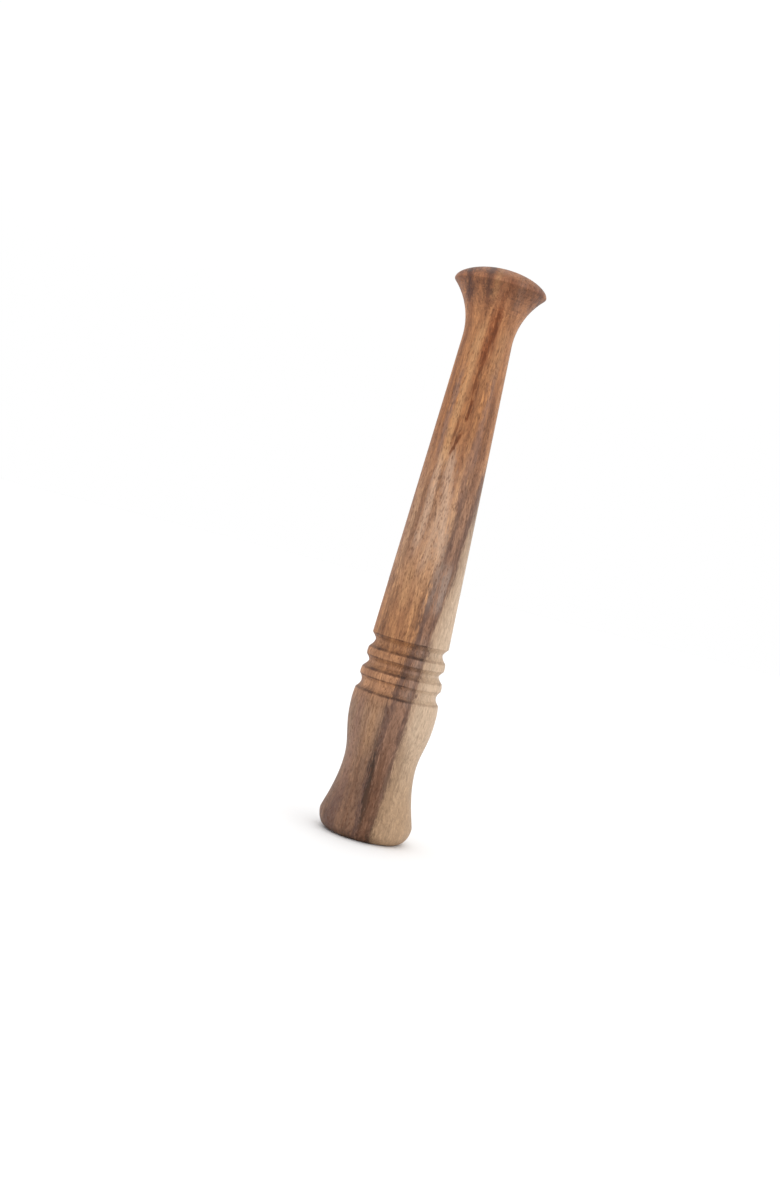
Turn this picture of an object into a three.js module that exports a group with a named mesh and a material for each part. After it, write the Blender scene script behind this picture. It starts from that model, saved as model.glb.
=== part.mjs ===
// One-piece bar muddler, turned from a single billet of acacia.
// Millimetres, +Z up the turning axis, origin at the centre of the foot's flat face.

import * as THREE from 'three';

const FACETS = 48;

// Driving dimensions: each radius is from the axis, each height from the foot's face.
const LENGTH = 235;
const FACE_RADIUS = 14.2;
const FOOT = at(19.2, 7.2);
const WAIST = at(14.8, 30.2);
const BARREL = at(17.7, 53.4);
const NECK = at(10.15, 207);
const FLARE_RADIUS = 28.4;
const RIM_RADIUS = 18.9;
const RIM_ROUND = 0.9;

// Three coves part the barrel from the handle and leave two narrow beads between them.
const COVES = [
  { lowerLip: at(17.3, 58.4), root: at(15.6, 61.4), upperLip: at(16.85, 64.3) },
  { lowerLip: at(16.6, 67.3), root: at(14.55, 70.1), upperLip: at(16.1, 72.5) },
  { lowerLip: at(15.95, 75.6), root: at(14.0, 78.9), upperLip: at(15.88, 81.6) },
];

// Lengths of the curve handles: how far each curve keeps the direction it leaves a point with.
const FOOT_PULL = 1.4;
const WAIST_PULL_DOWN = 11.1;
const WAIST_PULL_UP = 8.3;
const BARREL_PULL_DOWN = 12.1;
const BARREL_PULL_UP = 2.6;
const BEAD_PULL = 0.3;
const DOME_START_ANGLE = THREE.MathUtils.degToRad(10);
const DOME_EDGE_PULL = 3;
const DOME_TOP_PULL = 10.5;

function at(radius, height) {
  return new THREE.Vector2(radius, height);
}

function shifted(point, outward, upward) {
  return at(point.x + outward, point.y + upward);
}

// A curve's points without its first one, which the stretch before it already holds.
function trace(curve, steps) {
  return curve.getPoints(steps).slice(1);
}

function arc(centre, radius, startAngle, endAngle) {
  const clockwise = endAngle < startAngle;
  return new THREE.EllipseCurve(centre.x, centre.y, radius, radius, startAngle, endAngle, clockwise);
}

// Flat face, rounded lower edge, and the concave flank up to the waist.
function footOutline() {
  const edgeWidth = FOOT.x - FACE_RADIUS;
  const edge = new THREE.EllipseCurve(FACE_RADIUS, FOOT.y, edgeWidth, FOOT.y, -Math.PI / 2, 0);
  const flank = new THREE.CubicBezierCurve(
    FOOT,
    shifted(FOOT, 0, FOOT_PULL),
    shifted(WAIST, 0, -WAIST_PULL_DOWN),
    WAIST,
  );
  return [at(0, 0), at(FACE_RADIUS, 0), ...trace(edge, 6), ...trace(flank, 10)];
}

// Waist, barrel and the slight crown up to the first cove.
function barrelOutline() {
  const belly = new THREE.CubicBezierCurve(
    WAIST,
    shifted(WAIST, 0, WAIST_PULL_UP),
    shifted(BARREL, 0, -BARREL_PULL_DOWN),
    BARREL,
  );
  const crown = new THREE.QuadraticBezierCurve(BARREL, shifted(BARREL, 0, BARREL_PULL_UP), COVES[0].lowerLip);
  return [...trace(belly, 12), ...trace(crown, 3)];
}

// Each cove falls from its lips at 45 degrees and rounds out at its root.
function coveOutline({ lowerLip, root, upperLip }) {
  const lowerTurn = at(root.x, lowerLip.y + lowerLip.x - root.x);
  const upperTurn = at(root.x, upperLip.y - upperLip.x + root.x);
  const lowerHalf = new THREE.QuadraticBezierCurve(lowerLip, lowerTurn, root);
  const upperHalf = new THREE.QuadraticBezierCurve(root, upperTurn, upperLip);
  return [...trace(lowerHalf, 4), ...trace(upperHalf, 4)];
}

// The lightly crowned bead between one cove and the next.
function beadOutline(start, end) {
  const crown = shifted(start.clone().lerp(end, 0.5), BEAD_PULL, 0);
  return trace(new THREE.QuadraticBezierCurve(start, crown, end), 3);
}

function beadsOutline() {
  return COVES.flatMap((cove, index) => {
    const next = COVES[index + 1];
    const bead = next ? beadOutline(cove.upperLip, next.lowerLip) : [];
    return [...coveOutline(cove), ...bead];
  });
}

// The point where a straight line from a point below runs tangent into the flare's arc.
function tangentPoint(start, centre, radius) {
  const reach = centre.clone().sub(start);
  const lineLength = Math.sqrt(reach.lengthSq() - radius ** 2);
  const direction = reach.angle() + Math.asin(radius / reach.length());
  return shifted(start, lineLength * Math.cos(direction), lineLength * Math.sin(direction));
}

// Straight tapered handle, arc of the flare, rounded rim and domed top.
function handleOutline() {
  const base = COVES[COVES.length - 1].upperLip;
  const flareCentre = shifted(NECK, FLARE_RADIUS, 0);
  const handleTop = tangentPoint(base, flareCentre, FLARE_RADIUS);

  const rimInset = flareCentre.x - (RIM_RADIUS - RIM_ROUND);
  const rimRise = Math.sqrt((FLARE_RADIUS + RIM_ROUND) ** 2 - rimInset ** 2);
  const rimCentre = shifted(flareCentre, -rimInset, rimRise);
  const rimAngle = -Math.atan2(rimRise, rimInset);

  const flareStart = handleTop.clone().sub(flareCentre).angle();
  const flare = arc(flareCentre, FLARE_RADIUS, flareStart, Math.PI + rimAngle);
  const rim = arc(rimCentre, RIM_ROUND, rimAngle, DOME_START_ANGLE);

  const domeStart = rim.getPoint(1);
  const domeTurn = shifted(
    domeStart,
    -DOME_EDGE_PULL * Math.sin(DOME_START_ANGLE),
    DOME_EDGE_PULL * Math.cos(DOME_START_ANGLE),
  );
  const apex = at(0, LENGTH);
  const dome = new THREE.CubicBezierCurve(domeStart, domeTurn, at(DOME_TOP_PULL, LENGTH), apex);
  return [handleTop, ...trace(flare, 10), ...trace(rim, 3), ...trace(dome, 8)];
}

// The whole turned outline from the centre of the foot's face up to the apex of the dome.
function muddlerBody() {
  const outline = [...footOutline(), ...barrelOutline(), ...beadsOutline(), ...handleOutline()];
  const turned = new THREE.LatheGeometry(outline, FACETS);
  turned.rotateX(Math.PI / 2);
  const acacia = new THREE.MeshStandardMaterial({ color: 0x9c6c48, roughness: 0.5, metalness: 0 });
  const mesh = new THREE.Mesh(turned, acacia);
  mesh.name = 'muddler_body';
  return mesh;
}

const muddler = new THREE.Group();
muddler.add(muddlerBody());

export default muddler;
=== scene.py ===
"""A one-piece bar muddler turned from acacia, on a plain pale floor in soft studio light.

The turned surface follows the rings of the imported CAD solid. The wood is a solid texture, so each
streak runs through the billet and comes out where the turning cuts it.
"""

import math

import bpy
import numpy as np
from mathutils import Matrix, Vector


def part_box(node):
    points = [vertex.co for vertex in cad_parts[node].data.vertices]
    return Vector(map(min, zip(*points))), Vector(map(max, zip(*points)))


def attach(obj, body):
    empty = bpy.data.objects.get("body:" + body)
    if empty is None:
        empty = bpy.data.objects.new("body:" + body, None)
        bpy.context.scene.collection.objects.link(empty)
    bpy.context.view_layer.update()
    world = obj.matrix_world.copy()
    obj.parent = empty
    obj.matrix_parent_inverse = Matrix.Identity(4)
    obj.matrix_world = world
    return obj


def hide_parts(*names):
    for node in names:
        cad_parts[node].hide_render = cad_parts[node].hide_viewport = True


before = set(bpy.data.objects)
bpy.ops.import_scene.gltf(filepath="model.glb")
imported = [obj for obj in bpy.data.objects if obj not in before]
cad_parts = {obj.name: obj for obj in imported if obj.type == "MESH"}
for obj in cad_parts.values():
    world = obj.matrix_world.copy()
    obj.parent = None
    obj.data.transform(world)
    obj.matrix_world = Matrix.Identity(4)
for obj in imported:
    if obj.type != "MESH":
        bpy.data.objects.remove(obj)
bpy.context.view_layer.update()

MM = 0.001
NODE = "muddler_body"
SLOT = "acacia_wood"

# ---------------------------------------------------------------- turned surface

SIDES = 160                     # faces around the axis
EDGE_TURN = math.radians(29)    # the outline has an edge where it turns more than this
EDGE_STRIDE = 4.0               # and a join where one CAD step is so many times the next
TRACE_STEP = 0.05 * MM          # spacing of the traced outline before rings are chosen
EDGE_SOFTNESS = 0.16 * MM       # how far sanding has softened the edges
RING_LENGTH = 1.3 * MM          # longest stretch between two rings
RING_TURN = math.radians(5)     # most that the outline turns between two rings
SEAM_ANGLE = math.pi / 2        # the texture seam runs up the back


def cad_outline(node):
    """(radius, height) of each ring of the CAD solid, from the centre of its base to its apex."""
    vertices = np.array([v.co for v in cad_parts[node].data.vertices])
    radius = np.hypot(vertices[:, 0], vertices[:, 1])
    height = np.round(vertices[:, 2], 7)
    rings = [(radius[height == level].max(), level) for level in np.unique(height)]
    return np.array([(0.0, rings[0][1]), *rings])


def turning(points):
    """How far a polyline turns at each of its inner points."""
    step = np.diff(points, axis=0)
    heading = np.unwrap(np.arctan2(step[:, 1], step[:, 0]))
    return np.abs(np.diff(heading))


def breaks(points):
    """Where the outline's smooth runs meet: at its edges, and where a straight stretch begins."""
    stride = np.linalg.norm(np.diff(points, axis=0), axis=1)
    change = np.abs(np.log(stride[1:] / stride[:-1]))
    inner = np.flatnonzero((turning(points) > EDGE_TURN) | (change > math.log(EDGE_STRIDE))) + 1
    return [0, *inner, len(points) - 1]


def smooth_run(points, step):
    """A Catmull-Rom curve through one run of points between two edges."""
    if len(points) < 3:
        count = max(2, int(np.linalg.norm(points[-1] - points[0]) / step))
        return points[0] + (points[-1] - points[0]) * np.linspace(0, 1, count)[:, None]
    ends_on_axis = abs(points[-1][0]) < TRACE_STEP
    after = points[-2] * (-1, 1) if ends_on_axis else 2 * points[-1] - points[-2]
    path = np.vstack([2 * points[0] - points[1], points, after])
    traced = []
    for p0, p1, p2, p3 in zip(path, path[1:], path[2:], path[3:]):
        k0, k1, k2 = (np.sqrt(np.linalg.norm(b - a)) for a, b in ((p0, p1), (p1, p2), (p2, p3)))
        out = (p1 - p0) / k0 - (p2 - p0) / (k0 + k1) + (p2 - p1) / k1
        back = (p2 - p1) / k1 - (p3 - p1) / (k1 + k2) + (p3 - p2) / k2
        t = np.linspace(0, 1, max(2, int(np.linalg.norm(p2 - p1) / step)), endpoint=False)[:, None]
        traced.append(
            (2 * t**3 - 3 * t**2 + 1) * p1
            + (t**3 - 2 * t**2 + t) * out * k1
            + (3 * t**2 - 2 * t**3) * p2
            + (t**3 - t**2) * back * k1
        )
    return np.vstack([*traced, points[-1:]])


def resample(points, step):
    """Points at even spacing along a polyline."""
    length = np.concatenate([[0], np.cumsum(np.linalg.norm(np.diff(points, axis=0), axis=1))])
    even = np.linspace(0, length[-1], int(length[-1] / step) + 1)
    return np.column_stack([np.interp(even, length, points[:, axis]) for axis in (0, 1)])


def softened(points, reach):
    """The outline with its edges rounded by a short Gaussian blur, its two ends held."""
    width = int(4 * reach / TRACE_STEP)
    offsets = np.arange(-width, width + 1) * TRACE_STEP
    weights = np.exp(-0.5 * (offsets / reach) ** 2)
    weights /= weights.sum()
    head = 2 * points[0] - points[width:0:-1]
    tail = points[-2 : -width - 2 : -1] * (-1, 1)
    padded = np.vstack([head, points, tail])
    blurred = np.column_stack([np.convolve(padded[:, axis], weights, "valid") for axis in (0, 1)])
    blurred[0] = points[0]
    blurred[-1] = points[-1]
    return blurred


def fine_outline(node):
    """The outline to turn, with rings close together only where it curves."""
    coarse = cad_outline(node)
    ends = breaks(coarse)
    runs = [smooth_run(coarse[a : b + 1], TRACE_STEP) for a, b in zip(ends, ends[1:])]
    traced = softened(resample(np.vstack(runs), TRACE_STEP), EDGE_SOFTNESS)
    step = np.linalg.norm(np.diff(traced, axis=0), axis=1)
    turn = np.concatenate([[0], turning(traced)])
    measure = np.concatenate([[0], np.cumsum(step / RING_LENGTH + turn / RING_TURN)])
    wanted = np.linspace(0, measure[-1], int(measure[-1]) + 1)
    chosen = np.column_stack([np.interp(wanted, measure, traced[:, axis]) for axis in (0, 1)])
    chosen[-1, 0] = 0.0
    return chosen


def turned_mesh(name, outline):
    """A closed mesh turned about the axis, with one unwrap: angle across, outline length up."""
    angle = SEAM_ANGLE + np.arange(SIDES) * 2 * math.pi / SIDES
    inner = outline[1:-1]
    vertices = [(0.0, 0.0, outline[0, 1])]
    for radius, height in inner:
        ring = zip(radius * np.cos(angle), radius * np.sin(angle))
        vertices.extend((x, y, height) for x, y in ring)
    vertices.append((0.0, 0.0, outline[-1, 1]))
    apex = len(vertices) - 1
    length = np.concatenate([[0], np.cumsum(np.linalg.norm(np.diff(outline, axis=0), axis=1))])
    up = length / length[-1]
    faces, corners = [], []
    for side in range(SIDES):
        following = (side + 1) % SIDES
        left, right = side / SIDES, (side + 1) / SIDES
        middle = (left + right) / 2
        faces.append((0, 1 + following, 1 + side))
        corners.append([(middle, up[0]), (right, up[1]), (left, up[1])])
        for ring in range(len(inner) - 1):
            low, high = 1 + ring * SIDES, 1 + (ring + 1) * SIDES
            faces.append((low + side, low + following, high + following, high + side))
            v_low, v_high = up[ring + 1], up[ring + 2]
            corners.append([(left, v_low), (right, v_low), (right, v_high), (left, v_high)])
        last = 1 + (len(inner) - 1) * SIDES
        faces.append((last + side, last + following, apex))
        corners.append([(left, up[-2]), (right, up[-2]), (middle, up[-1])])
    mesh = bpy.data.meshes.new(name)
    mesh.from_pydata(vertices, [], faces)
    unwrap = mesh.uv_layers.new(name="OFBake")
    unwrap.data.foreach_set("uv", np.array([uv for face in corners for uv in face]).ravel())
    mesh.shade_smooth()
    mesh.validate()
    return mesh


# ---------------------------------------------------------------- shader helpers


class Tree:
    """Short calls for the nodes that the wood needs. A value is a socket or a plain number."""

    def __init__(self, owner):
        self.tree = owner.node_tree

    def node(self, kind, output=0, settings=None, **inputs):
        made = self.tree.nodes.new(kind)
        for name, value in (settings or {}).items():
            setattr(made, name, value)
        for name, value in inputs.items():
            self.feed(made.inputs[name.replace("_", " ")], value)
        return made.outputs[output]

    def feed(self, socket, value):
        if isinstance(value, bpy.types.NodeSocket):
            self.tree.links.new(value, socket)
        else:
            socket.default_value = value

    def math(self, operation, *values, clamp=False):
        made = self.tree.nodes.new("ShaderNodeMath")
        made.operation = operation
        made.use_clamp = clamp
        for socket, value in zip(made.inputs, values):
            self.feed(socket, value)
        return made.outputs[0]

    def vector(self, operation, *values):
        made = self.tree.nodes.new("ShaderNodeVectorMath")
        made.operation = operation
        for socket, value in zip(made.inputs, values):
            self.feed(socket, value)
        return made.outputs[0]

    def scale(self, vector, factor):
        made = self.vector("SCALE", vector)
        self.feed(made.node.inputs["Scale"], factor)
        return made

    def ramp(self, value, low, high, start=0.0, end=1.0):
        """Eases from start to end as value goes from low to high."""
        made = self.tree.nodes.new("ShaderNodeMapRange")
        made.interpolation_type = "SMOOTHSTEP"
        for name, given in zip(("Value", "From Min", "From Max", "To Min", "To Max"),
                               (value, low, high, start, end)):
            self.feed(made.inputs[name], given)
        return made.outputs[0]

    def blend(self, factor, first, second, how="MIX"):
        """Mixes two colours. The node has a socket of each name per data type, so the live ones
        are picked out."""
        made = self.tree.nodes.new("ShaderNodeMix")
        made.data_type = "RGBA"
        made.blend_type = how
        live = [socket for socket in made.inputs if socket.enabled]
        for socket, value in zip(live, (factor, first, second)):
            self.feed(socket, value)
        return next(socket for socket in made.outputs if socket.enabled)

    def noise(self, place, across, along, detail, roughness, seed, deep=1.0, output=0):
        """Noise with so many features a millimetre across the grain, front to back and along it."""
        stretch = (across, across * deep, along)
        stretched = self.vector("MULTIPLY_ADD", place, stretch, (seed, -seed, 2 * seed))
        return self.node("ShaderNodeTexNoise", output, Vector=stretched, Scale=1.0,
                         Detail=detail, Roughness=roughness)

    def curve(self, value, points, low, high):
        """A smooth curve through (value, result) points, with results from low to high."""
        made = self.tree.nodes.new("ShaderNodeFloatCurve")
        start, end = points[0][0], points[-1][0]
        line = made.mapping.curves[0]
        while len(line.points) < len(points):
            line.points.new(0.5, 0.5)
        for spot, (at, result) in zip(line.points, points):
            spot.location = ((at - start) / (end - start), (result - low) / (high - low))
        made.mapping.update()
        share = self.math("DIVIDE", self.math("SUBTRACT", value, start), end - start, clamp=True)
        self.feed(made.inputs["Value"], share)
        return self.math("MULTIPLY_ADD", made.outputs[0], high - low, low)


def tone(red, green, blue):
    """A colour given as display values from 0 to 255, as the linear colour that a shader takes."""
    shares = (value / 255 for value in (red, green, blue))
    return (*(s / 12.92 if s <= 0.04045 else ((s + 0.055) / 1.055) ** 2.4 for s in shares), 1.0)


# ---------------------------------------------------------------- the wood's figure

# The heartwood's light and dark tone, from (height, light, dark) up the billet in millimetres.
HEART = [
    (12, tone(128, 94, 72), tone(98, 70, 54)),
    (50, tone(151, 117, 91), tone(119, 90, 72)),
    (64, tone(182, 133, 95), tone(144, 101, 74)),
    (84, tone(178, 127, 84), tone(136, 90, 60)),
    (128, tone(184, 143, 109), tone(146, 105, 80)),
    (176, tone(178, 122, 76), tone(138, 88, 55)),
    (212, tone(180, 124, 80), tone(138, 89, 57)),
    (226, tone(164, 111, 76), tone(128, 80, 57)),
]
SAP = tone(194, 168, 142)
SAP_BESIDE_HEART = tone(168, 139, 114)
SAP_AT_FOOT = tone(164, 132, 100)
BETWEEN_STREAKS = tone(136, 101, 81)
PLUM = tone(92, 66, 57)
PLUM_DARK = tone(40, 25, 12)
PLUM_PALE = tone(136, 101, 84)
MAROON = tone(84, 50, 40)
RUSSET = tone(90, 54, 30)
GREY = tone(156, 134, 120)
PINK = tone(194, 162, 138)
BUTTER = tone(192, 144, 100)
# A paler band on the dome, with painted light on its right side.
APRICOT_AND_PAINTED_LIGHT = tone(206, 144, 102)
UMBER = tone(104, 68, 46)
TAN = tone(130, 102, 76)
EMBER = tone(134, 72, 36)
FLAME = tone(106, 52, 16)
PORE = tone(84, 50, 30)

FIGURE_WIDTH = 24.0   # millimetres: every sheet of the figure stays this close to the axis
FRONT = 16.0          # millimetres from the axis to where a sheet's offsets are given
AROUND_THE_BACK = (-14.0, 12.0)  # millimetres of depth over which the figure loosens

# Each sheet of figure runs through the billet: (height, offset from the axis) points in
# millimetres along the front, half its width, its lean from front to back, how far it fades
# in and out along the grain, its tone and its strength.
HEART_EDGE = dict(
    path=[(-8, 2.4), (5, 2.7), (15, 3.4), (30, 4.3), (50, 5.1), (65, 5.8), (80, 6.2), (95, 7.2),
          (110, 8.8), (125, 9.5), (138, 10.2), (150, 11.1), (175, 14.4), (205, 22.0)],
    half=0.9, lean=0.10, fade=(2, 30), tone=PLUM, strength=0.75)
LEFT_STREAK = dict(
    path=[(-8, -4.2), (5, -3.7), (15, -3.3), (30, -2.7), (45, -2.4), (55, -1.7), (62, -0.8),
          (70, 0.4), (77, 1.4), (85, 1.9), (95, 2.6), (110, 4.1), (120, 5.2), (135, 6.3), (168, 7.0)],
    half=1.4, lean=-0.14, fade=(2, 34), tone=PLUM, strength=0.78)
SHEETS = [
    # the double streak beside the sapwood, from the right of the handle down to the foot
    HEART_EDGE,
    LEFT_STREAK,
    dict(path=[(2, -3.0), (14, -2.2), (24, -1.9), (32, -2.6), (40, -3.2), (46, -3.4)],
         half=1.1, lean=-0.14, fade=(8, 16), tone=PLUM_DARK, strength=0.9),
    dict(path=[(-8, -0.2), (5, 0.1), (15, 0.3), (30, 1.0), (58, 1.4)],
         half=2.1, lean=0.0, fade=(2, 32), tone=RUSSET, strength=0.75),
    dict(path=[(-8, 2.2), (4, 2.5), (12, 3.1), (24, 3.8)],
         half=1.4, lean=0.10, fade=(2, 12), tone=UMBER, strength=0.6),
    dict(path=[(-8, 2.4), (5, 3.1), (14, 3.6)],
         half=1.4, lean=0.10, fade=(2, 6), tone=PLUM_DARK, strength=0.5),
    dict(path=[(-8, 5.4), (10, 5.9), (30, 6.8), (50, 7.8)],
         half=2.2, lean=0.10, fade=(2, 14), tone=TAN, strength=0.45),
    dict(path=[(92, 2.4), (100, 3.2), (108, 4.2), (118, 5.2)],
         half=1.5, lean=-0.1, fade=(8, 6), tone=GREY, strength=0.38),
    dict(path=[(92, 6.2), (104, 7.2), (118, 7.8)],
         half=1.2, lean=0.0, fade=(8, 8), tone=GREY, strength=0.75),
    dict(path=[(54, -12.6), (64, -12.0), (76, -11.6), (94, -13.4)],
         half=2.2, lean=0.2, fade=(6, 8), tone=UMBER, strength=0.22),
    dict(path=[(54, 4.0), (64, 4.4), (74, 5.0), (88, 5.4)],
         half=1.5, lean=0.0, fade=(6, 8), tone=GREY, strength=0.32),
    # the foot's and barrel's left side
    dict(path=[(0, -8.0), (20, -8.6), (35, -9.6), (50, -10.0), (62, -9.0)],
         half=0.9, lean=0.2, fade=(10, 8), tone=UMBER, strength=0.45),
    dict(path=[(30, -7.6), (45, -7.2), (60, -6.6)],
         half=1.6, lean=0.1, fade=(10, 10), tone=BUTTER, strength=0.3),
    dict(path=[(-5, -15.0), (20, -14.2), (40, -14.4), (62, -14.6)],
         half=2.0, lean=0.25, fade=(4, 10), tone=PLUM_PALE, strength=0.6),
    dict(path=[(-5, -16.0), (10, -15.0), (24, -12.6)],
         half=3.0, lean=0.25, fade=(4, 12), tone=PLUM, strength=0.7),
    # the handle's lower half
    dict(path=[(78, -13.8), (100, -13.2), (125, -11.8), (152, -10.4)],
         half=1.3, lean=0.2, fade=(6, 10), tone=UMBER, strength=0.5),
    dict(path=[(82, -1.2), (90, -0.9), (100, 0.0), (110, 1.4)],
         half=0.9, lean=0.1, fade=(6, 8), tone=UMBER, strength=0.45),
    dict(path=[(92, -7.4), (104, -7.8), (116, -8.0)],
         half=1.8, lean=0.1, fade=(6, 8), tone=BUTTER, strength=0.4),
    dict(path=[(104, 2.6), (118, 1.9), (130, 0.3), (140, -0.8), (150, -2.2), (164, -3.4)],
         half=1.8, lean=0.1, fade=(18, 10), tone=PINK, strength=0.62),
    dict(path=[(112, -8.6), (124, -8.0), (140, -7.4), (162, -6.8)],
         half=1.3, lean=0.15, fade=(14, 6), tone=PINK, strength=0.6),
    dict(path=[(106, -3.6), (118, -3.0), (130, -2.6), (142, -3.4)],
         half=1.5, lean=0.1, fade=(10, 10), tone=PINK, strength=0.35),
    dict(path=[(129, -4.0), (134, -4.3), (142, -5.2), (160, -5.2)],
         half=0.6, lean=0.1, fade=(3, 10), tone=UMBER, strength=0.55),
    dict(path=[(132, 4.6), (142, 4.4), (156, 4.8), (168, 5.0)],
         half=1.3, lean=0.0, fade=(8, 10), tone=PLUM_PALE, strength=0.5),
    dict(path=[(134, 11.2), (146, 10.2), (160, 10.0)],
         half=1.3, lean=-0.1, fade=(6, 8), tone=UMBER, strength=0.15),
    # the handle's upper half
    dict(path=[(150, -6.0), (165, -6.0), (180, -5.0), (195, -4.2), (206, -3.6), (216, -3.2)],
         half=1.5, lean=0.1, fade=(8, 10), tone=BUTTER, strength=0.72),
    dict(path=[(186, 5.4), (200, 5.6), (214, 6.4)],
         half=1.8, lean=0.0, fade=(8, 8), tone=BUTTER, strength=0.35),
    dict(path=[(150, 6.8), (170, 6.6), (185, 6.8), (200, 6.8)],
         half=1.1, lean=-0.1, fade=(8, 14), tone=PLUM_PALE, strength=0.7),
    dict(path=[(156, 10.0), (172, 9.4), (190, 8.8)],
         half=1.0, lean=-0.1, fade=(4, 14), tone=UMBER, strength=0.5),
    dict(path=[(152, -9.4), (170, -8.4), (185, -7.6), (200, -7.2)],
         half=0.9, lean=0.1, fade=(8, 16), tone=PLUM_PALE, strength=0.8),
    dict(path=[(178, -9.6), (190, -8.9), (200, -8.2), (210, -8.0)],
         half=1.3, lean=0.1, fade=(8, 6), tone=UMBER, strength=0.06),
    dict(path=[(156, 3.8), (170, 3.0), (186, 2.4), (198, 2.8), (212, 3.4)],
         half=1.4, lean=0.05, fade=(10, 8), tone=UMBER, strength=0.24),
    # the flame that comes down from the flare, in tongues inside a softer glow
    dict(path=[(176, -2.6), (184, -2.2), (194, -1.4), (202, -0.8), (210, 0.0), (218, 0.6)],
         half=1.5, lean=0.05, fade=(8, 8), tone=EMBER, strength=0.3),
    dict(path=[(192, -0.6), (202, 0.0), (208, 0.7), (214, 1.2), (222, 1.9)],
         half=1.7, lean=0.05, fade=(7, 6), tone=EMBER, strength=0.8),
    dict(path=[(195, -0.1), (201, 0.2), (207, 0.9), (212, 1.3), (217, 1.8)],
         half=1.0, lean=0.05, fade=(4, 5), tone=FLAME, strength=0.45),
    dict(path=[(181, -1.1), (186, -0.8), (190, -0.6), (196, -0.2), (201, 0.2), (207, 1.0),
               (213, 1.5), (220, 2.1)],
         half=0.6, lean=0.05, fade=(3, 5), tone=FLAME, strength=0.8),
    dict(path=[(218, 1.9), (223, 2.3), (227, 2.6)],
         half=0.7, lean=0.05, fade=(3, 3), tone=EMBER, strength=0.5),
    dict(path=[(171, -1.0), (174, -0.6), (178, -0.5), (183, -1.0)],
         half=0.45, lean=0.05, fade=(2, 3), tone=FLAME, strength=0.95),
    dict(path=[(156, -4.2), (160, -3.4), (164, -2.0), (169, -1.1)],
         half=0.4, lean=0.05, fade=(3, 3), tone=FLAME, strength=0.85),
    dict(path=[(158, -4.5), (166, -3.8), (176, -3.2)],
         half=0.35, lean=0.05, fade=(4, 6), tone=FLAME, strength=0.65),
    # the knob
    dict(path=[(212, -3.0), (217, -3.0), (221, -3.4)],
         half=2.2, lean=0.05, fade=(3, 3), tone=UMBER, strength=0.15),
    dict(path=[(219, -2.4), (224, -2.2), (230, -1.8), (238, -1.6)],
         half=1.2, lean=0.05, fade=(4, 2), tone=BUTTER, strength=0.45),
    dict(path=[(214, 5.2), (220, 6.0), (226, 6.6), (232, 6.6)],
         half=1.6, lean=0.05, fade=(5, 4), tone=UMBER, strength=0.25),
    dict(path=[(217, -12.4), (222, -12.8), (230, -13.5), (238, -13.9)],
         half=1.2, lean=0.1, fade=(5, 2), tone=MAROON, strength=0.85),
    dict(path=[(219, -11.4), (223, -11.8), (229, -12.8)],
         half=0.9, lean=0.1, fade=(3, 4), tone=MAROON, strength=0.55),
    dict(path=[(216, -9.4), (224, -9.8), (234, -10.2)],
         half=1.2, lean=0.1, fade=(6, 4), tone=UMBER, strength=0.3),
    dict(path=[(218, -4.2), (223, -4.6), (228, -5.0), (238, -4.8)],
         half=1.3, lean=0.05, fade=(6, 2), tone=MAROON, strength=0.7),
    # partly a paler apricot band, partly painted light on the dome's right side
    dict(path=[(228.5, 7.0), (232, 7.0), (238, 6.8)],
         half=4.6, lean=0.05, fade=(2, 2), tone=APRICOT_AND_PAINTED_LIGHT, strength=0.6),
    dict(path=[(216, 8.2), (225, 8.0), (238, 7.6)],
         half=1.3, lean=0.05, fade=(6, 2), tone=PLUM_PALE, strength=0.5),
    dict(path=[(222, 3.4), (226, 3.6), (231, 3.4)],
         half=1.0, lean=0.05, fade=(2, 2), tone=FLAME, strength=0.4),
    dict(path=[(216, 15.4), (226, 15.4), (238, 15.0)],
         half=0.8, lean=0.05, fade=(6, 2), tone=MAROON, strength=0.5),
]

SAP_MARGIN = 0.3       # millimetres from the heart edge's middle to the sapwood
SAP_GROWTH = 0.9       # millimetres between growth lines in the sapwood
HEART_GROWTH = 1.5     # and in the heartwood
END_GRAIN = (0.22, 0.85)  # how far the surface tips across the grain, from none to most
OILED = (0.66, 0.60, 0.50, 1.0)  # what the oil leaves of each colour on full end grain

# The width in millimetres that the figure wanders over.
BEND_REACH = (0.8, 5.0)               # its slow bends, at the front and round the back
WAVER_REACH = 2.0                     # its quick ones
RAGGED = dict(fibre=1.6, dashes=1.4)  # the most that each grain frays an edge that takes it all
SAP_EDGE = (-0.7, 1.0)                # millimetres from its margin to where sapwood begins, is full
SAP_SHADE = (0.6, 5.2)                # from darkest to palest, in millimetres past the heart edge
SAP_FOOT = (12.0, 52.0)               # heights between which the foot's tone in the sapwood fades
BETWEEN_FADES = (110.0, 160.0)        # and the brown between the two main streaks

# How strongly each layer lightens or darkens the colour under it, as a share.
FINE_GRAIN = dict(dashes=0.45, hair=0.42, fibre=0.22)
HEART_LINES = dict(long_grain=0.03, end_grain=0.07)
SAP_LINES = 0.06
DARK_FLECKS = 0.4
DARK_PORES = 0.42
MARK_CONTRAST = 0.45

# How much of each layer the sapwood shows, where the heartwood shows all of it.
# The last entry is how much of the painted shade in the coves the sapwood shows.
IN_SAPWOOD = dict(grain=0.85, flecks=0.35, pores=0.4, oil=0.55, cove_shade=0.35)

PORE_CELLS = (1.25, 1.25, 0.4)  # pores a millimetre: across, from front to back and along
PORE_REACH = (0.16, 0.38)       # from a pore's middle, in cells, where pores are small and large
FLARE_MARKS = (212.0, 218.0, 226.0, 228.0)  # heights where they begin, are full, fade and end
RELIEF = dict(fibre=0.015, hair=0.012, pores=-0.040, marks=0.018)  # millimetres
SATIN = dict(dull=0.60, bright=0.50, pores=0.2, fibre=0.08)  # roughness, and what adds to it
SPECULAR = 0.3
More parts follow.
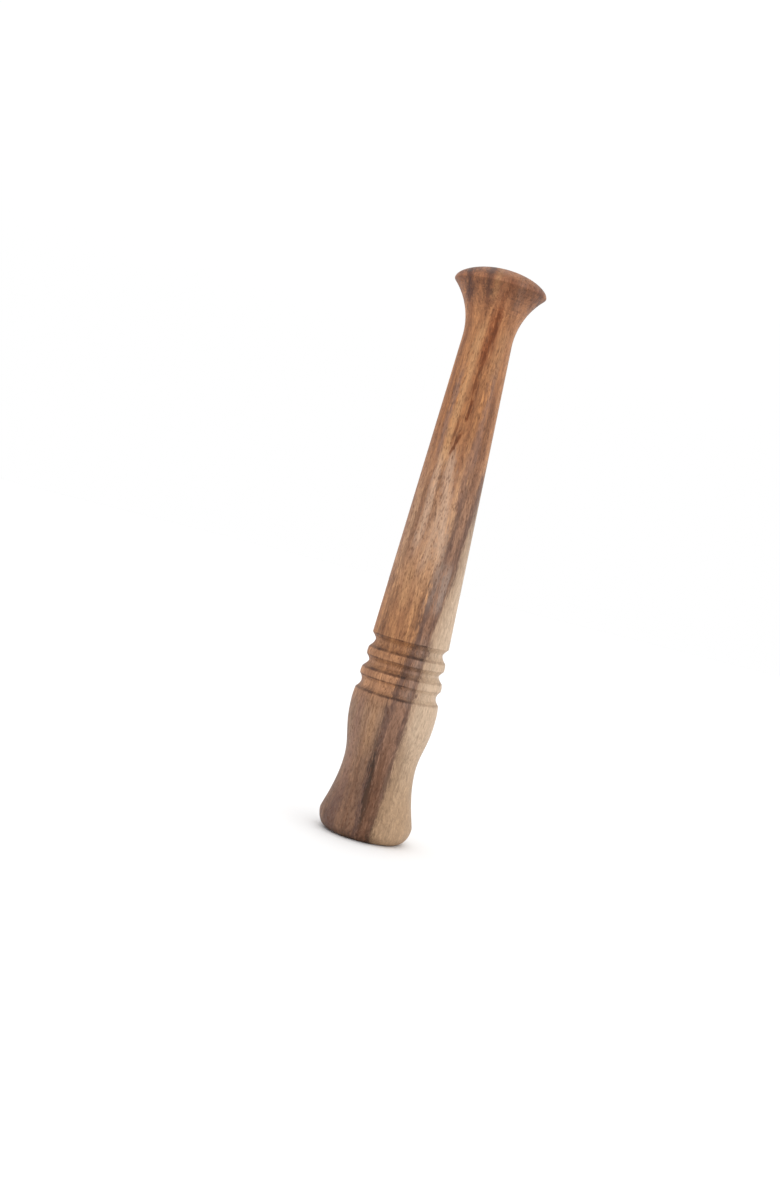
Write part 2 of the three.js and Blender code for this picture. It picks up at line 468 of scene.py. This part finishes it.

# Painted shade in the coves, as patchy darker rings: thin under the coves' upper lips, softer above
# their lower ones.
COVE_SHADE_RINGS = [
    dict(levels=(81.6, 72.5, 64.3), reach=0.45, strength=0.42),
    dict(levels=(76.1, 67.6, 58.6), reach=0.85, strength=0.46),
]

# Noise in the wood, in features a millimetre across the grain and along it. The growth layers
# run from front to back, so the broad noise is longer that way too, which shows on end grain.
BEND = dict(across=0.045, along=0.012, detail=2.0, roughness=0.5, seed=3.0)
WAVER = dict(across=0.5, along=0.06, detail=3.0, roughness=0.6, seed=7.0)
BANDS = dict(across=0.22, deep=0.5, along=0.010, detail=3.0, roughness=0.55, seed=11.0)
FIBRE = dict(across=0.8, deep=0.35, along=0.07, detail=3.0, roughness=0.65, seed=17.0)
DASHES = dict(across=1.7, deep=0.6, along=0.32, detail=2.0, roughness=0.6, seed=19.0)
HAIR = dict(across=4.0, along=0.4, detail=2.0, roughness=0.6, seed=23.0)
FLECKS = dict(across=1.3, along=0.30, detail=1.0, roughness=0.5, seed=29.0)
PORE_SIZES = dict(across=0.30, along=0.05, detail=2.0, roughness=0.5, seed=31.0)
# The patches of the painted shade in the coves.
COVE_SHADE_PATCHES = dict(across=0.16, along=0.1, detail=2.0, roughness=0.6, seed=37.0)
RUBBED = dict(across=0.10, along=0.06, detail=1.0, roughness=0.5, seed=41.0)


def components(tree, vector):
    return list(tree.node("ShaderNodeSeparateXYZ", 0, Vector=vector).node.outputs)


def centred(tree, value, reach):
    """A noise value from 0 to 1 as one from -reach to reach."""
    return tree.math("MULTIPLY_ADD", value, 2 * reach, -reach)


def sideways(tree, noise, reach):
    """A noise colour as a shift across the grain of up to half of reach each way."""
    shift = tree.vector("SUBTRACT", noise, (0.5, 0.5, 0.5))
    return tree.scale(tree.vector("MULTIPLY", shift, (1.0, 1.0, 0.0)), reach)


def sheet_offset(tree, place, sheet):
    """How far a point is from a sheet, across the grain, in millimetres."""
    x, y, z = place
    along = tree.curve(z, sheet["path"], -FIGURE_WIDTH, FIGURE_WIDTH)
    behind = tree.math("MULTIPLY_ADD", y, sheet["lean"], FRONT * sheet["lean"])
    return tree.math("SUBTRACT", x, tree.math("ADD", along, behind))


class Wood:
    """What the layers of the wood share: where a point lies in the billet, and the fibre there."""

    def __init__(self, tree):
        self.billet = tree.scale(tree.node("ShaderNodeTexCoord", "Object"), 1 / MM)
        far = tree.ramp(components(tree, self.billet)[1], *AROUND_THE_BACK, *BEND_REACH)
        bend = sideways(tree, tree.noise(self.billet, output="Color", **BEND), far)
        waver = sideways(tree, tree.noise(self.billet, output="Color", **WAVER), WAVER_REACH)
        self.grown = tree.vector("ADD", self.billet, tree.vector("ADD", bend, waver))
        self.place = components(tree, self.grown)
        self.depth, self.height = self.place[1:]

        self.bands = tree.noise(self.grown, **BANDS)
        self.fibre = tree.noise(self.grown, **FIBRE)
        self.dashes = tree.noise(self.grown, **DASHES)
        self.hair = tree.noise(self.grown, **HAIR)
        self.ragged = tree.math("ADD", centred(tree, self.fibre, RAGGED["fibre"]),
                                centred(tree, self.dashes, RAGGED["dashes"]))

        self.past_edge = sheet_offset(tree, self.place, HEART_EDGE)
        self.past_left = sheet_offset(tree, self.place, LEFT_STREAK)
        into_sap = tree.math("MULTIPLY_ADD", self.ragged, 0.4, self.past_edge)
        self.sap = tree.ramp(into_sap, *(SAP_MARGIN + edge for edge in SAP_EDGE))

        tilt = components(tree, tree.node("ShaderNodeNewGeometry", "Normal"))[2]
        self.end_grain = tree.ramp(tree.math("ABSOLUTE", tilt), *END_GRAIN)

    def mostly_heart(self, tree, in_sap):
        """1 in the heartwood, easing to in_sap in the sapwood."""
        return tree.ramp(self.sap, 0.0, 1.0, 1.0, in_sap)


def growth_lines(tree, wood, offset, spacing):
    """Growth lines beside a sheet, -1 to 1: fine where the turning cuts across, wide along it."""
    across = tree.math("DIVIDE", offset, spacing)
    back = tree.math("MULTIPLY", wood.depth, 0.05)
    up = tree.math("MULTIPLY", wood.height, 0.012)
    place = tree.node("ShaderNodeCombineXYZ", 0, X=across, Y=back, Z=up)
    lines = tree.node("ShaderNodeTexNoise", 0, Vector=place, Scale=1.0, Detail=2.0, Roughness=0.6)
    return centred(tree, tree.ramp(lines, 0.3, 0.7), 1.0)


def heart_colour(tree, wood):
    """Heartwood: lighter and darker bands, in tones that change slowly up the billet."""
    loose = tree.ramp(wood.depth, *AROUND_THE_BACK, 0.5, 1.2)
    broad = tree.math("MULTIPLY", centred(tree, tree.ramp(wood.bands, 0.34, 0.66), 0.5), loose)
    fine = tree.math("ADD", centred(tree, wood.fibre, 0.9), 0.5)
    share = tree.math("ADD", broad, fine, clamp=True)
    colour = tree.blend(share, HEART[0][2], HEART[0][1])
    for (below, *_), (above, light, dark) in zip(HEART, HEART[1:]):
        rise = tree.ramp(wood.height, below, above)
        colour = tree.blend(rise, colour, tree.blend(share, dark, light))
    lines = growth_lines(tree, wood, wood.past_left, HEART_GROWTH)
    contrast = tree.math("MULTIPLY_ADD", wood.end_grain, HEART_LINES["end_grain"],
                         HEART_LINES["long_grain"])
    return tree.scale(colour, tree.math("MULTIPLY_ADD", lines, contrast, 1.0))


def sap_colour(tree, wood):
    """Sapwood: pale, darker and yellower beside the heartwood and at the foot."""
    colour = tree.blend(tree.ramp(wood.past_edge, *SAP_SHADE), SAP_BESIDE_HEART, SAP)
    colour = tree.blend(tree.ramp(wood.height, *SAP_FOOT, 0.8, 0.0), colour, SAP_AT_FOOT)
    lines = growth_lines(tree, wood, wood.past_edge, SAP_GROWTH)
    return tree.scale(colour, tree.math("MULTIPLY_ADD", lines, SAP_LINES, 1.0))


def sheet_mask(tree, wood, sheet):
    """1 in the middle of a sheet, easing to 0 at its sides and ends, broken up by the grain."""
    half, path = sheet["half"], sheet["path"]
    offset = tree.math("ABSOLUTE", sheet_offset(tree, wood.place, sheet))
    frayed = tree.math("MULTIPLY_ADD", wood.ragged, 0.35 + 0.6 * half, offset)
    across = tree.ramp(frayed, 0.1 * half, 1.9 * half, 1.0, 0.0)
    start, end = path[0][0], path[-1][0]
    begins = tree.ramp(wood.height, start, start + sheet["fade"][0])
    ends = tree.ramp(wood.height, end - sheet["fade"][1], end, 1.0, 0.0)
    inside = tree.math("MULTIPLY", begins, ends)
    return tree.math("MULTIPLY", tree.math("MULTIPLY", across, inside), sheet["strength"])


def figured(tree, wood, colour):
    """Brown between the two main streaks, and then every sheet of figure."""
    before_edge = tree.ramp(wood.past_edge, -0.5, 0.5, 1.0, 0.0)
    between = tree.math("MULTIPLY", before_edge, tree.ramp(wood.past_left, -0.5, 0.5))
    lower = tree.ramp(wood.height, *BETWEEN_FADES, 0.85, 0.2)
    colour = tree.blend(tree.math("MULTIPLY", between, lower), colour, BETWEEN_STREAKS)
    for sheet in SHEETS:
        colour = tree.blend(sheet_mask(tree, wood, sheet), colour, sheet["tone"])
    return colour


def fibred(tree, wood, colour):
    """Fine fibre lightens and darkens the whole, more in the heartwood, with dark flecks."""
    fine = tree.math("ADD", centred(tree, wood.dashes, FINE_GRAIN["dashes"]),
                     centred(tree, wood.hair, FINE_GRAIN["hair"]))
    fine = tree.math("ADD", fine, centred(tree, wood.fibre, FINE_GRAIN["fibre"]))
    fine = tree.math("MULTIPLY", fine, wood.mostly_heart(tree, IN_SAPWOOD["grain"]))
    colour = tree.scale(colour, tree.math("ADD", fine, 1.0))
    flecks = tree.ramp(tree.noise(wood.grown, **FLECKS), 0.57, 0.70, 0.0, DARK_FLECKS)
    flecks = tree.math("MULTIPLY", flecks, wood.mostly_heart(tree, IN_SAPWOOD["flecks"]))
    return tree.blend(flecks, colour, PORE)


def pore_mask(tree, wood):
    """Open pores: short dashes along the grain, larger in some bands than in others."""
    cells = tree.vector("MULTIPLY", wood.grown, PORE_CELLS)
    away = tree.node("ShaderNodeTexVoronoi", "Distance", {"feature": "F1"}, Vector=cells, Scale=1.0,
                     Randomness=1.0)
    size = tree.ramp(tree.noise(wood.grown, **PORE_SIZES), 0.38, 0.60, *PORE_REACH)
    pores = tree.ramp(tree.math("DIVIDE", away, size), 0.5, 1.1, 1.0, 0.0)
    return tree.math("MULTIPLY", pores, wood.mostly_heart(tree, IN_SAPWOOD["pores"]))


def oiled(tree, wood, colour):
    """Cut end grain drinks more oil, so it is darker and warmer than the long grain."""
    drink = tree.math("MULTIPLY", wood.end_grain, wood.mostly_heart(tree, IN_SAPWOOD["oil"]))
    return tree.blend(drink, colour, OILED, "MULTIPLY")


def painted_cove_shade(tree, wood, colour):
    """Painted shade in the coves, in patchy darker rings."""
    level = components(tree, wood.billet)[2]
    patchy = tree.ramp(tree.noise(wood.billet, **COVE_SHADE_PATCHES), 0.35, 0.65, 0.4, 1.6)
    patchy = tree.math("MULTIPLY", patchy, wood.mostly_heart(tree, IN_SAPWOOD["cove_shade"]))
    for ring in COVE_SHADE_RINGS:
        for lip in ring["levels"]:
            away = tree.math("ABSOLUTE", tree.math("SUBTRACT", level, lip))
            line = tree.ramp(away, 0.2 * ring["reach"], ring["reach"], ring["strength"], 0.0)
            colour = tree.blend(tree.math("MULTIPLY", line, patchy), colour, UMBER, "MULTIPLY")
    return colour


def turning_marks(tree, wood):
    """Fine rings around the axis, -1 to 1, faint but for the flare, which is hard to sand."""
    x, y, level = components(tree, wood.billet)
    radius = tree.math("SQRT", tree.math("MULTIPLY_ADD", x, x, tree.math("MULTIPLY", y, y)))
    ringed = tree.node("ShaderNodeCombineXYZ", 0, X=radius, Y=0.0, Z=level)
    rings = tree.node("ShaderNodeTexNoise", 0, Vector=ringed, Scale=1.4, Detail=3.0, Roughness=0.6)
    begin, full, fade, end = FLARE_MARKS
    above = tree.ramp(level, begin, full)
    flare = tree.math("MULTIPLY", above, tree.ramp(level, fade, end, 1.0, 0.0))
    worn = tree.ramp(tree.noise(wood.billet, **RUBBED), 0.30, 0.50)
    shown = tree.math("MULTIPLY", worn, tree.math("MULTIPLY_ADD", flare, 0.8, 0.2))
    return tree.math("MULTIPLY", centred(tree, rings, 1.0), shown)


def wood_bump(tree, wood, pores, marks):
    """Raised fibre, sunken pores and the turning marks, in millimetres of height."""
    relief = tree.math("ADD", centred(tree, wood.fibre, RELIEF["fibre"]),
                       centred(tree, wood.hair, RELIEF["hair"]))
    relief = tree.math("MULTIPLY_ADD", pores, RELIEF["pores"], relief)
    relief = tree.math("MULTIPLY_ADD", marks, RELIEF["marks"], relief)
    return tree.node("ShaderNodeBump", 0, Strength=1.0, Distance=MM, Height=relief)


def wood_roughness(tree, wood, pores):
    """An oiled satin, a little duller in the pores and in some bands."""
    satin = tree.ramp(wood.bands, 0.3, 0.7, SATIN["dull"], SATIN["bright"])
    satin = tree.math("MULTIPLY_ADD", pores, SATIN["pores"], satin)
    return tree.math("ADD", satin, centred(tree, wood.fibre, SATIN["fibre"]), clamp=True)


def acacia(name):
    """Oiled acacia: streaked heartwood, pale sapwood, fine fibre, pores and turning marks."""
    material = bpy.data.materials.new(name)
    material.use_nodes = True
    tree = Tree(material)
    wood = Wood(tree)
    pores = pore_mask(tree, wood)
    marks = turning_marks(tree, wood)

    colour = tree.blend(wood.sap, heart_colour(tree, wood), sap_colour(tree, wood))
    colour = figured(tree, wood, colour)
    colour = fibred(tree, wood, colour)
    colour = tree.blend(tree.math("MULTIPLY", pores, DARK_PORES), colour, PORE)
    colour = oiled(tree, wood, colour)
    # Painted shade in the coves.
    colour = painted_cove_shade(tree, wood, colour)
    colour = tree.scale(colour, tree.math("MULTIPLY_ADD", marks, MARK_CONTRAST, 1.0))

    shader = material.node_tree.nodes["Principled BSDF"]
    shader.inputs["Specular IOR Level"].default_value = SPECULAR
    tree.feed(shader.inputs["Base Color"], colour)
    tree.feed(shader.inputs["Roughness"], wood_roughness(tree, wood, pores))
    tree.feed(shader.inputs["Normal"], wood_bump(tree, wood, pores, marks))
    return material


def add_muddler():
    outline = fine_outline(NODE)
    muddler = bpy.data.objects.new("turned_muddler", turned_mesh("turned_muddler", outline))
    bpy.context.scene.collection.objects.link(muddler)
    muddler.data.materials.append(acacia(SLOT))
    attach(muddler, "root")
    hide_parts(NODE)


# ---------------------------------------------------------------- stage, light and camera

FLOOR_SIZE = 8.0
FLOOR_COLOUR = (0.9, 0.9, 0.9, 1.0)
FLOOR_ROUGHNESS = 0.7
WHITE = (1.0, 1.0, 1.0, 1.0)
HORIZON_LIGHT = 1.0
ZENITH_LIGHT = 1.35
KEY_PLACE = (0.65, -0.75, 0.85)
KEY_SIZE = (0.7, 0.7)
KEY_POWER = 1.0                      # watts
CAMERA_LENS = 45.06                  # millimetres, on a 36 mm frame along the picture's long side
CAMERA_PLACE = (-0.01245, -0.6059, 0.11946)
CAMERA_PITCH = math.radians(-2.19)
CAMERA_ROLL = math.radians(14.24)    # the muddler leans to the right in the picture


def plain(name, colour, roughness):
    material = bpy.data.materials.new(name)
    material.use_nodes = True
    shader = material.node_tree.nodes["Principled BSDF"]
    shader.inputs["Base Color"].default_value = colour
    shader.inputs["Roughness"].default_value = roughness
    return material


def add_floor():
    half = FLOOR_SIZE / 2
    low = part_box(NODE)[0].z
    mesh = bpy.data.meshes.new("floor")
    corners = [(-half, -half, low), (half, -half, low), (half, half, low), (-half, half, low)]
    mesh.from_pydata(corners, [], [(0, 1, 2, 3)])
    floor = bpy.data.objects.new("floor", mesh)
    bpy.context.scene.collection.objects.link(floor)
    floor.data.materials.append(plain("pale_floor", FLOOR_COLOUR, FLOOR_ROUGHNESS))


def add_softbox(name, place, size, power, aim):
    light = bpy.data.lights.new(name, "AREA")
    light.shape = "RECTANGLE"
    light.size, light.size_y = size
    light.energy = power
    lamp = bpy.data.objects.new(name, light)
    lamp.location = place
    lamp.rotation_euler = (Vector(aim) - Vector(place)).to_track_quat("-Z", "Y").to_euler()
    bpy.context.scene.collection.objects.link(lamp)


def add_dome():
    """A white studio dome, brighter overhead than at the horizon."""
    world = bpy.data.worlds.new("studio")
    world.use_nodes = True
    tree = Tree(world)
    direction = tree.node("ShaderNodeTexCoord", "Generated")
    up = tree.node("ShaderNodeSeparateXYZ", "Z", Vector=direction)
    strength = tree.ramp(up, 0.1, 0.9, HORIZON_LIGHT, ZENITH_LIGHT)
    tree.feed(world.node_tree.nodes["Background"].inputs["Strength"], strength)
    world.node_tree.nodes["Background"].inputs["Color"].default_value = WHITE
    bpy.context.scene.world = world


def add_light():
    add_dome()
    middle = tuple((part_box(NODE)[0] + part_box(NODE)[1]) / 2)
    add_softbox("key", KEY_PLACE, KEY_SIZE, KEY_POWER, middle)
    bpy.context.scene.view_settings.view_transform = "Standard"


def add_camera():
    data = bpy.data.cameras.new("camera")
    data.lens = CAMERA_LENS
    camera = bpy.data.objects.new("camera", data)
    tilt = Matrix.Rotation(math.pi / 2 + CAMERA_PITCH, 4, "X")
    roll = Matrix.Rotation(CAMERA_ROLL, 4, "Z")
    camera.matrix_world = Matrix.Translation(CAMERA_PLACE) @ tilt @ roll
    bpy.context.scene.collection.objects.link(camera)
    bpy.context.scene.camera = camera


add_camera()
add_muddler()
add_floor()
add_light()
